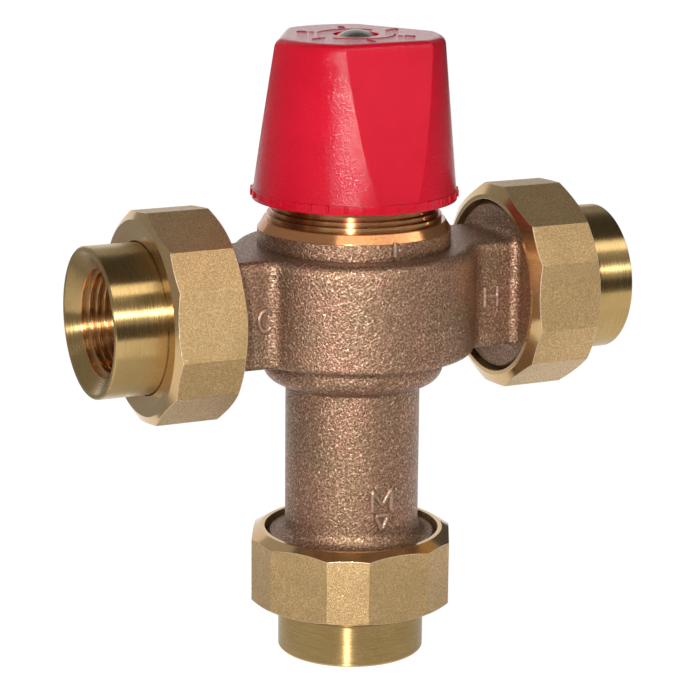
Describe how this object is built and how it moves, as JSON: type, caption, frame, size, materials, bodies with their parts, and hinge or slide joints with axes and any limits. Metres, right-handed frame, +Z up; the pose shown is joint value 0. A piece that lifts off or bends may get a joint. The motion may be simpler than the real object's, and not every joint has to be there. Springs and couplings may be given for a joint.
{
  "type": "tempering mixing valve",
  "caption": "Three-way tempering mixing valve with a bronze body, union-nut pipe tails on all ports and a red tapered adjusting cap.",
  "frame": {"origin": "centre of the outlet tailpiece's end face, which the valve stands on", "axes": "+Z up along the spindle, -X towards the cold inlet, +X towards the hot inlet, -Y towards the cast port letters"},
  "size_m": [0.1342, 0.058, 0.1516],
  "materials": {
    "cast_bronze": "sand-cast bronze, left rough",
    "forged_brass": "blasted yellow brass with turned chamfers",
    "turned_brass": "turned and polished yellow brass",
    "cover_brass": "turned brass",
    "red_plastic": "moulded, semi-gloss red",
    "stainless": "stainless steel",
    "spring_steel": "stainless spring wire",
    "seal_rubber": "black rubber",
    "gasket_fibre": "pressed fibre sheet",
    "white_plastic": "moulded acetal"
  },
  "bodies": {
    "casting": {"valve_body": "cast_bronze", "bonnet": "cover_brass", "bonnet_o_ring": "seal_rubber", "spring_seat": "stainless", "cold_tailpiece": "turned_brass", "cold_gasket": "gasket_fibre", "hot_tailpiece": "turned_brass", "hot_gasket": "gasket_fibre", "outlet_tailpiece": "turned_brass", "outlet_gasket": "gasket_fibre", "cold_inlet_screen": "stainless", "cold_check_housing": "white_plastic", "cold_check_guide": "white_plastic", "hot_inlet_screen": "stainless", "hot_check_housing": "white_plastic", "hot_check_guide": "white_plastic"},
    "handle": {"adjusting_cap": "red_plastic", "cap_screw": "stainless", "adjusting_spindle": "cover_brass", "spindle_o_ring": "seal_rubber", "spindle_circlip": "spring_steel"},
    "carrier": {"spring_carrier": "cover_brass", "carrier_snap_ring": "spring_steel", "overload_cup": "stainless", "overload_spring": "spring_steel", "element_piston": "stainless"},
    "mixer": {"wax_element": "turned_brass", "shuttle": "white_plastic", "shuttle_o_ring": "seal_rubber", "return_spring": "spring_steel"},
    "cold_poppet": {"cold_check_poppet": "white_plastic", "cold_check_spring": "spring_steel"},
    "hot_poppet": {"hot_check_poppet": "white_plastic", "hot_check_spring": "spring_steel"},
    "cold_nut": {"cold_union_nut": "forged_brass"},
    "hot_nut": {"hot_union_nut": "forged_brass"},
    "outlet_nut": {"outlet_union_nut": "forged_brass"}
  },
  "joints": [
    {"name": "spindle_turn", "type": "hinge", "parent": "casting", "child": "handle", "pos_m": [0, 0, 0.12725], "axis": [0, 0, 1], "range_deg": [-330, 330]},
    {"name": "carrier_slide", "type": "slide", "parent": "casting", "child": "carrier", "axis": [0, 0, 1], "range_m": [-0.00149, 0.00149]},
    {"name": "mixing_stroke", "type": "slide", "parent": "casting", "child": "mixer", "axis": [0, 0, 1], "range_m": [-0.0012, 0.0012], "stiffness_N_per_m": 2500, "deforming": ["return_spring"]},
    {"name": "cold_check_stroke", "type": "slide", "parent": "casting", "child": "cold_poppet", "axis": [1, 0, 0], "range_m": [0, 0.0035], "stiffness_N_per_m": 60, "springref_m": -0.004, "deforming": ["cold_check_spring"]},
    {"name": "hot_check_stroke", "type": "slide", "parent": "casting", "child": "hot_poppet", "axis": [-1, 0, 0], "range_m": [0, 0.0035], "stiffness_N_per_m": 60, "springref_m": -0.004, "deforming": ["hot_check_spring"]},
    {"name": "cold_nut_turn", "type": "hinge", "parent": "casting", "child": "cold_nut", "pos_m": [-0.049, 0, 0.08725], "axis": [-1, 0, 0], "continuous": true},
    {"name": "hot_nut_turn", "type": "hinge", "parent": "casting", "child": "hot_nut", "pos_m": [0.049, 0, 0.08725], "axis": [1, 0, 0], "continuous": true},
    {"name": "outlet_nut_turn", "type": "hinge", "parent": "casting", "child": "outlet_nut", "pos_m": [0, 0, 0.01815], "axis": [0, 0, -1], "continuous": true}
  ],
  "couplings": [
    {"joint": "carrier_slide", "follows": "spindle_turn", "m_per_rad": -0.00025465}
  ]
}
